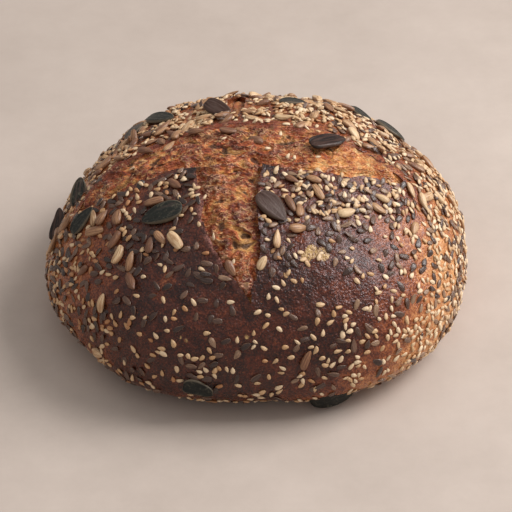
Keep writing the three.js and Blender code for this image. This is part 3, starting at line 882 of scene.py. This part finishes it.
class Graph:
    """The nodes of a material or world, and short ways to add to them.

    Colours are given as in a picture, 0 to 255, and sizes in millimetres.
    """

    def __init__(self, owner):
        owner.use_nodes = True
        self.owner = owner
        self.tree = owner.node_tree
        self.tree.nodes.clear()
        self.coordinates = self.node("ShaderNodeTexCoord").outputs
        self.place = self.coordinates["Object"]

    def node(self, kind, inputs=None, **settings):
        made = self.tree.nodes.new(kind)
        for key, value in settings.items():
            setattr(made, key, value)
        for key, value in (inputs or {}).items():
            if isinstance(value, bpy.types.NodeSocket):
                self.tree.links.new(value, made.inputs[key])
            else:
                made.inputs[key].default_value = value
        return made

    def value(self, name):
        return self.node("ShaderNodeAttribute", attribute_name=name).outputs["Fac"]

    def noise(self, size, detail=3.0, roughness=0.5, distortion=0.0, place=None):
        """Noise of 0 to 1 with lumps about size mm across."""
        inputs = {"Vector": place or self.place, "Scale": 1 / (size * MM), "Detail": detail}
        inputs.update({"Roughness": roughness, "Distortion": distortion})
        return self.node("ShaderNodeTexNoise", inputs).outputs["Fac"]

    def stretched(self, factors):
        """The place, with what is drawn there longer along the axes whose factor is under 1."""
        inputs = {0: self.place, 1: factors}
        return self.node("ShaderNodeVectorMath", inputs, operation="MULTIPLY").outputs[0]

    def threads(self, size, level, width, place):
        """Thin curling lines, 1 on the lines and 0 off them."""
        away = self.math("ABSOLUTE", self.math("SUBTRACT", self.noise(size, 2, 0.5, 2.0, place), level))
        return self.spread(away, 0.0, width, 1.0, 0.0)

    def math(self, operation, *values):
        return self.node("ShaderNodeMath", dict(enumerate(values)), operation=operation).outputs[0]

    def total(self, base, *terms):
        """Base, and each value times its weight."""
        for value, weight in terms:
            base = self.math("MULTIPLY_ADD", value, weight, base)
        return base

    def product(self, first, *others):
        for other in others:
            first = self.math("MULTIPLY", first, other)
        return first

    def over(self, colour, upper, *weights):
        """Colour with the upper one laid over it, as much as the product of the weights."""
        upper = linear(*upper) if isinstance(upper, tuple) else upper
        inputs = {0: self.product(*weights), 6: colour, 7: upper}
        return self.node("ShaderNodeMix", inputs, data_type="RGBA").outputs[2]

    def spread(self, value, low, high, to_low=0.0, to_high=1.0):
        inputs = {"Value": value, "From Min": low, "From Max": high, "To Min": to_low, "To Max": to_high}
        return self.node("ShaderNodeMapRange", inputs, interpolation_type="SMOOTHSTEP").outputs[0]

    def ramp(self, value, *stops):
        """A colour by value. Each stop is a value and its colour."""
        made = self.node("ShaderNodeValToRGB", {"Fac": value})
        elements = made.color_ramp.elements
        while len(elements) < len(stops):
            elements.new(0.5)
        for element, (position, *colour) in zip(elements, stops):
            element.position = position
            element.color = linear(*colour)
        return made.outputs["Color"]

    def bump(self, height, distance, strength=1.0, **under):
        inputs = {"Height": height, "Distance": distance * MM, "Strength": strength, **under}
        return self.node("ShaderNodeBump", inputs).outputs["Normal"]

    def finish(self, colour, normal, roughness, **more):
        inputs = {"Base Color": colour, "Normal": normal, "Roughness": roughness, **more}
        shader = self.node("ShaderNodeBsdfPrincipled", inputs)
        self.node("ShaderNodeOutputMaterial", {"Surface": shader.outputs[0]})
        return self.owner


# Colours of the crust from pale to charred, and of the crumb from its folds to its ridges.
CRUST_STOPS = (
    (0, 226, 176, 124), (0.2, 200, 136, 86), (0.4, 148, 82, 48), (0.62, 92, 42, 25), (0.82, 58, 27, 17),
    (1, 32, 17, 13),
)
CRUMB_STOPS = (
    (0, 92, 38, 24), (0.22, 132, 58, 32), (0.46, 184, 96, 50), (0.72, 226, 152, 86), (1, 250, 212, 150),
)
PORE_SIZE = 0.95
THREADS = ((9, 0.035, 0.6), (5.4, 0.045, 0.34))  # size, width and strength of the crumb's threads
THREAD_HEIGHT = 0.22


def crust_material():
    g = Graph(bpy.data.materials.new("crust"))
    patches = g.spread(g.noise(17, 3, 0.55, 0.6), 0.34, 0.66)
    mottle = g.spread(g.noise(3.6, 4, 0.6, 0.8), 0.34, 0.66)
    grain = g.spread(g.noise(0.8, 2, 0.6), 0.36, 0.64)
    # the bake value also holds painted light, paler on the lit right side
    tone = g.total(-0.17, (g.value("bake_and_light"), 1), (patches, 0.13), (mottle, 0.16), (grain, 0.2))
    colour = g.ramp(tone, *CRUST_STOPS)
    colour = g.over(colour, (190, 116, 74), g.spread(g.noise(0.7, 2, 0.7), 0.6, 0.7), 0.34)
    flesh = g.ramp(g.noise(1.6, 4, 0.6, 1.0), (0.3, 122, 62, 40), (0.7, 190, 118, 76))
    colour = g.over(colour, flesh, g.value("torn"))
    flakes = g.ramp(g.noise(0.9, 3, 0.7), (0.42, 88, 46, 42), (0.62, 196, 134, 118))
    colour = g.over(colour, flakes, g.value("frayed"), g.spread(g.noise(3.2, 4, 0.7), 0.36, 0.54))
    flaky = g.spread(g.total(g.value("flaky"), (g.noise(2.6, 3, 0.7, 1.0), 1.6)), 1.42, 1.75)
    flaked = g.ramp(g.noise(1.0, 3, 0.7), (0.36, 120, 80, 48), (0.64, 206, 172, 114))
    colour = g.over(colour, flaked, flaky)
    inputs = {"Vector": g.place, "Scale": 1 / (PORE_SIZE * MM)}
    pores = g.node("ShaderNodeTexVoronoi", inputs, feature="SMOOTH_F1").outputs["Distance"]
    height = g.total(g.noise(1.5, 3, 0.6), (pores, -0.8), (g.noise(0.6, 2, 0.6), 0.5))
    roughness = g.spread(g.noise(2.4, 3), 0.3, 0.7, 0.2, 0.34)
    shine = {"Specular IOR Level": 0.42, "Specular Tint": (1.0, 0.92, 0.97, 1)}
    coat = {"Coat Weight": 0.1, "Coat Roughness": 0.25}
    return g.finish(colour, g.bump(height, 0.42), roughness, **shine, **coat)


def crumb_material():
    g = Graph(bpy.data.materials.new("torn_crumb"))
    hollow = g.value("hollow")
    streaks = g.stretched((0.5, 1, 1))
    clouds = g.spread(g.noise(9, 3, 0.55, 1.2), 0.36, 0.64)
    fibres = g.spread(g.noise(3.4, 3, 0.5, 2.2, streaks), 0.36, 0.64)
    grain = g.spread(g.noise(1.5, 2, 0.5, 2.0, streaks), 0.34, 0.66)
    # the pale value is partly painted light, paler on the lit right side
    parts = ((clouds, 0.36), (fibres, 0.24), (grain, 0.08), (hollow, 0.38), (g.value("pale_and_lit"), 1))
    colour = g.ramp(g.total(-0.195, *parts), *CRUMB_STOPS)
    golden = g.spread(g.noise(9, 2, 0.5), 0.45, 0.58)
    colour = g.over(colour, (222, 176, 100), g.spread(hollow, 0.5, 0.75), golden, 0.5)
    raised = []
    for size, width, weight in THREADS:
        dark = g.threads(size, 0.5, width, streaks)
        light = g.threads(size * 0.8, 0.57, width, streaks)
        colour = g.over(colour, (140, 66, 38), dark, 0.7 * weight)
        # the light threads are partly pale strands of crumb and partly a painted highlight on the raised
        # threads
        colour = g.over(colour, (246, 196, 138), light, weight)
        raised += [(light, THREAD_HEIGHT), (dark, -THREAD_HEIGHT)]
    # painted shade: the deepest hollows of the crumb are painted dark
    colour = g.over(colour, (60, 28, 18), g.spread(hollow, 0.9, 1.0), 0.85)
    # painted highlight: the raised ridges of the crumb are painted pale pink where they would catch the
    # light
    ridge_highlights = g.spread(g.noise(1.8, 3, 0.6, 1.5), 0.48, 0.62)
    colour = g.over(colour, (246, 196, 160), g.spread(hollow, 0.34, 0.12), ridge_highlights, 0.5)
    strands = g.spread(g.noise(1.0, 3, place=g.stretched((0.12, 1, 1))), 0.35, 0.6, 0.35, 0.95)
    colour = g.over(colour, (128, 60, 40), g.value("rind"), strands)
    height = g.total(g.noise(2.6, 2, 0.5, 2.6, streaks), (g.noise(1.0, 2, 0.5, 1.6), 0.15), *raised)
    depth = {"Subsurface Weight": 0.12, "Subsurface Scale": 1.2 * MM, "Subsurface Radius": (1.0, 0.45, 0.2)}
    return g.finish(colour, g.bump(height, 1.1), 0.45, **depth, **{"Specular IOR Level": 0.5})


PATCH_SIZE = 1.3  # of the pale bloom on the pumpkin seeds, in millimetres
# Stretch of the streaks along and across a seed, and how far the tint moves them.
STREAK_STRETCH = {"along": 0.7, "across": 2.6, "tint": 97.0}


def seed_material(name, stops, roughness, coat, streak, rim, rim_weight, shine=0.5, patch=None):
    """A seed's finish: its own tint, streaks along it, a paler or darker rim, and patches of bloom."""
    g = Graph(bpy.data.materials.new(name))
    values = {key: g.value(key) for key in STREAK_STRETCH}
    sides = [g.product(values[key], stretch) for key, stretch in STREAK_STRETCH.items()]
    own_place = g.node("ShaderNodeCombineXYZ", dict(enumerate(sides))).outputs[0]
    inputs = {"Vector": own_place, "Scale": 1.4, "Detail": 3.0}
    streaks = g.node("ShaderNodeTexNoise", inputs).outputs["Fac"]
    tone = g.total(-streak / 2, (values["tint"], 1), (g.spread(streaks, 0.3, 0.7), streak))
    edge = g.spread(g.math("ABSOLUTE", values["across"]), 0.74, 0.95)
    bare = g.spread(values["tint"], 0.45, 0.85, 1.0, 0.1) if patch else 1.0
    colour = g.over(g.ramp(tone, *stops), rim, edge, rim_weight, bare)
    if patch:
        bloom = g.spread(g.noise(PATCH_SIZE, 4, 0.75, 0.6), 0.5, 0.66)
        wide = g.spread(g.noise(3 * PATCH_SIZE, 3, 0.6, 0.8), 0.4, 0.62, 0.15, 0.7)
        colour = g.over(colour, patch, bloom, wide, bare)
    normal = g.bump(g.noise(0.9, 3, 0.6), 0.2, 0.8)
    normal = g.bump(streaks, 0.35, 0.7, Normal=normal)
    gloss = {"Coat Weight": coat, "Coat Roughness": 0.3, "Specular IOR Level": shine}
    return g.finish(colour, normal, roughness, **gloss)


PUMPKIN_STOPS = ((0, 20, 21, 18), (0.35, 32, 35, 30), (0.6, 84, 66, 60), (0.85, 60, 37, 29), (1, 24, 13, 11))
SUNFLOWER_STOPS = ((0, 112, 72, 50), (0.35, 150, 108, 76), (0.7, 184, 142, 102), (1, 218, 186, 146))
LINSEED_STOPS = ((0, 48, 30, 24), (0.45, 78, 53, 42), (0.8, 114, 84, 66), (1, 154, 122, 96))
SESAME_STOPS = ((0, 176, 120, 78), (0.14, 196, 150, 104), (0.5, 212, 176, 134), (1, 237, 211, 176))


def seed_materials():
    bloom = {"shine": 0.28, "patch": (104, 98, 82)}
    return (
        seed_material("pumpkin_seed", PUMPKIN_STOPS, 0.42, 0.0, 0.3, (122, 106, 86), 0.6, **bloom),
        seed_material("sunflower_kernel", SUNFLOWER_STOPS, 0.4, 0.1, 0.5, (118, 78, 54), 0.4),
        seed_material("linseed", LINSEED_STOPS, 0.26, 0.2, 0.3, (150, 114, 90), 0.5),
        seed_material("sesame_seed", SESAME_STOPS, 0.42, 0.1, 0.2, (180, 126, 80), 0.3),
    )


# How dark the crust is baked, 0 to 1, with painted light that makes the lit right side paler. A shift counts
# in full where each of its measures, in millimetres, has reached the second value, and not at all before the
# first.
BAKE = 0.6
BAKE_AND_LIGHT_SHIFTS = (
    (0.1, ("y", -8, -54)),
    # painted light: these two shifts make the right side paler, partly a paler bake and partly painted light
    # where the key light falls
    (-0.2, ("x", 26, 52), ("y", -5, -30)),
    (-0.4, ("x", 44, 74)),
    (-0.34, ("height", 32, 10), ("x", 2, 48), ("x", 78, 52)),
    (-0.22, ("height", 15, 4)),
    (-0.34, ("x", -42, -78)),
    (-0.2, ("y", 2, 18)),
)
# Corners of the petals between the arms, where the crust is charred.
CORNERS = ((-25.0, -11.0), (2.5, -11.0))
CHAR_REACH = 5.5
CHAR = 0.3
# Scuffed and paler places of the crust: pixel across, pixel down, reach in millimetres, how much paler.
PALE_PIXELS = (
    (167, 281, 3.4, 0.24), (158, 296, 2.8, 0.2), (200, 300, 5, 0.08), (352, 366, 6, 0.1), (300, 232, 6, 0.1),
)
# Pale flaky patches on the crust: pixel across, pixel down, and reach in millimetres.
FLAKY_PIXELS = (
    (312, 252, 3.2), (322, 254, 3.4), (306, 257, 2.4), (247, 337, 1.2), (186, 340, 1), (181, 338, 1),
)
SPOT_FADE = (1.3, 0.6)  # shares of a spot's reach between which it fades in
SHARPEST = math.radians(48)  # edges of the crust sharper than this aren't smoothed


def spot_weights(points, spots):
    """For each spot in the picture, how near each point is to it, from 0 to 1."""
    for d, (_, _, reach, *_) in zip(seen_at(spots), spots):
        middle = d * crust_base(d[None]) + MIDDLE
        yield rise(np.linalg.norm(points - middle, axis=1), *(reach * share for share in SPOT_FADE))


def bake_and_light_of(points):
    """How dark the crust is baked, 0 to 1, at each point, with painted light that makes the lit right side
    paler.
    """
    x, y, z = (points - MIDDLE).T
    measures = {"x": x, "y": y, "height": z + BULGE_HEIGHT}
    bake_and_light = np.full(len(points), BAKE)
    for shift, *ranges in BAKE_AND_LIGHT_SHIFTS:
        for name, start, end in ranges:
            shift = shift * rise(measures[name], start, end)
        bake_and_light += shift
    for corner_x, corner_y in CORNERS:
        bake_and_light += CHAR * np.exp(-((np.hypot(x - corner_x, y - corner_y) / CHAR_REACH) ** 2))
    for weight, (*_, paler) in zip(spot_weights(points, PALE_PIXELS), PALE_PIXELS):
        bake_and_light -= paler * weight
    return np.clip(bake_and_light, 0.02, 1)


def finish_crust(crust):
    """Where the crust is baked, with painted light on its lit right side, torn, frayed along the front arm's
    left edge, and flaky.
    """
    points = points_of(crust)
    x, y, _ = (points - MIDDLE).T
    depth = crust_base(directions_to(points)) - np.linalg.norm(points - MIDDLE, axis=1)
    left_edge = rise(-y, 12, 17) * rise(y, -66, -60) * rise(-x, 5, 9)
    give_values(crust, "bake_and_light", bake_and_light_of(points))
    give_values(crust, "torn", rise(depth, 1.3, 2.4))
    give_values(crust, "frayed", 0.8 * left_edge * rise(inside_score(x, y), -2.6, -0.7))
    give_values(crust, "flaky", np.max(list(spot_weights(points, FLAKY_PIXELS)), axis=0))
    crust.data.shade_smooth()
    crust.data.set_sharp_from_angle(angle=SHARPEST)


def finish_crumb(crumb):
    """Where the crumb is hollow, has a rind along the far edge, and is paler or darker, partly as painted
    light that makes its lit right side paler.
    """
    points = points_of(crumb)
    x, y, _ = (points - MIDDLE).T
    relief = np.linalg.norm(points - MIDDLE, axis=1) - crumb_base(directions_to(points))
    rind = rise(-inside_score(x, y), -4.5, -0.5) * rise(across_side_arms(x, y), 0.3, 0.8)
    give_values(crumb, "hollow", rise(-relief, -1.2, 1.5))
    give_values(crumb, "rind", rind)
    # partly painted light: the crumb is painted paler on the lit right side and a little darker on the
    # shaded left, and it is paler in the back arm
    give_values(crumb, "pale_and_lit", 0.36 * rise(x, 5, 36) - 0.04 * rise(-x, 30, 60) + 0.3 * rise(y, *BACK_FROM))
    crumb.data.shade_smooth()


def dress(obj, material, slot):
    obj.data.materials.clear()
    obj.data.materials.append(material)
    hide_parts("loaf")
    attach(obj, "root")


def add_camera():
    camera = bpy.data.cameras.new("camera")
    camera.sensor_width = SENSOR
    camera.lens = SENSOR * PIXELS_PER_MM * DISTANCE / FRAME_PIXELS
    camera.clip_start, camera.clip_end = CLIP
    obj = add_object("camera", camera)
    obj.location = CAMERA * MM
    obj.rotation_euler = (math.pi / 2 - ELEVATION, 0, 0)
    bpy.context.scene.camera = obj


# The studio, in metres and watts: one large soft light from the right, a soft sky, and a floor.
KEY_PLACE = Vector((1.05, 0.28, 1.06))
KEY_AIM = Vector((0, 0, 0.03))
KEY_SIZE = 0.9
KEY_POWER = 26
KEY_COLOUR = (1.0, 0.985, 0.97)
SKY_COLOUR = (1.0, 0.975, 0.95, 1)
SKY_LOW, SKY_HIGH = 0.3, 0.65  # strength of the soft light from the horizon and from overhead
FLOOR_HALF = 3000  # millimetres
# painted shade: the darker floor colour towards the far corner
FLOOR_SHADE_COLOUR = (150, 136, 126)
SHADED_FLOOR_WAY = (-0.2, 0.98, 0)  # painted shade: the floor is painted darker this way, as if the light fell off


def add_lights():
    light = bpy.data.lights.new("key", "AREA")
    light.size = KEY_SIZE
    light.energy = KEY_POWER
    light.color = KEY_COLOUR
    key = add_object("key", light)
    key.location = KEY_PLACE
    key.rotation_euler = (KEY_AIM - KEY_PLACE).to_track_quat("-Z", "Y").to_euler()
    g = Graph(bpy.data.worlds.new("studio"))
    upward = g.node("ShaderNodeSeparateXYZ", {0: g.coordinates["Generated"]}).outputs["Z"]
    levels = {"Value": upward, "To Min": SKY_LOW, "To Max": SKY_HIGH}
    strength = g.node("ShaderNodeMapRange", levels).outputs[0]
    sky = g.node("ShaderNodeBackground", {"Color": SKY_COLOUR, "Strength": strength}).outputs[0]
    g.node("ShaderNodeOutputWorld", {"Surface": sky})
    bpy.context.scene.world = g.owner


def add_floor():
    corners = np.array([(-1, -1, 0), (1, -1, 0), (1, 1, 0), (-1, 1, 0)]) * FLOOR_HALF
    floor = add_mesh("floor", corners, [(0, 1, 2, 3)])
    g = Graph(bpy.data.materials.new("floor"))
    colour = g.ramp(g.noise(60, 8, 0.72), (0.3, 184, 170, 160), (0.7, 198, 184, 174))
    # painted shade: the floor is painted darker towards the back and a little to the left
    inputs = {0: g.place, 1: SHADED_FLOOR_WAY}
    floor_shade = g.node("ShaderNodeVectorMath", inputs, operation="DOT_PRODUCT").outputs["Value"]
    colour = g.over(colour, FLOOR_SHADE_COLOUR, g.spread(floor_shade, 0.06, 0.2, 0.0, 0.22))
    floor.data.materials.append(g.finish(colour, g.bump(g.noise(3, 3), 0.05, 0.3), 0.8))


def main():
    add_camera()
    add_lights()
    add_floor()
    crust = make_crust()
    crumb = make_crumb()
    finish_crust(crust)
    finish_crumb(crumb)
    dress(crust, crust_material(), "crust")
    dress(crumb, crumb_material(), "torn_crumb")
    slots = ("pumpkin_seed", "sunflower_kernel", "linseed", "sesame_seed")
    for obj, material, slot in zip(make_seeds(), seed_materials(), slots):
        dress(obj, material, slot)
    bpy.context.scene.view_settings.view_transform = "Standard"


main()
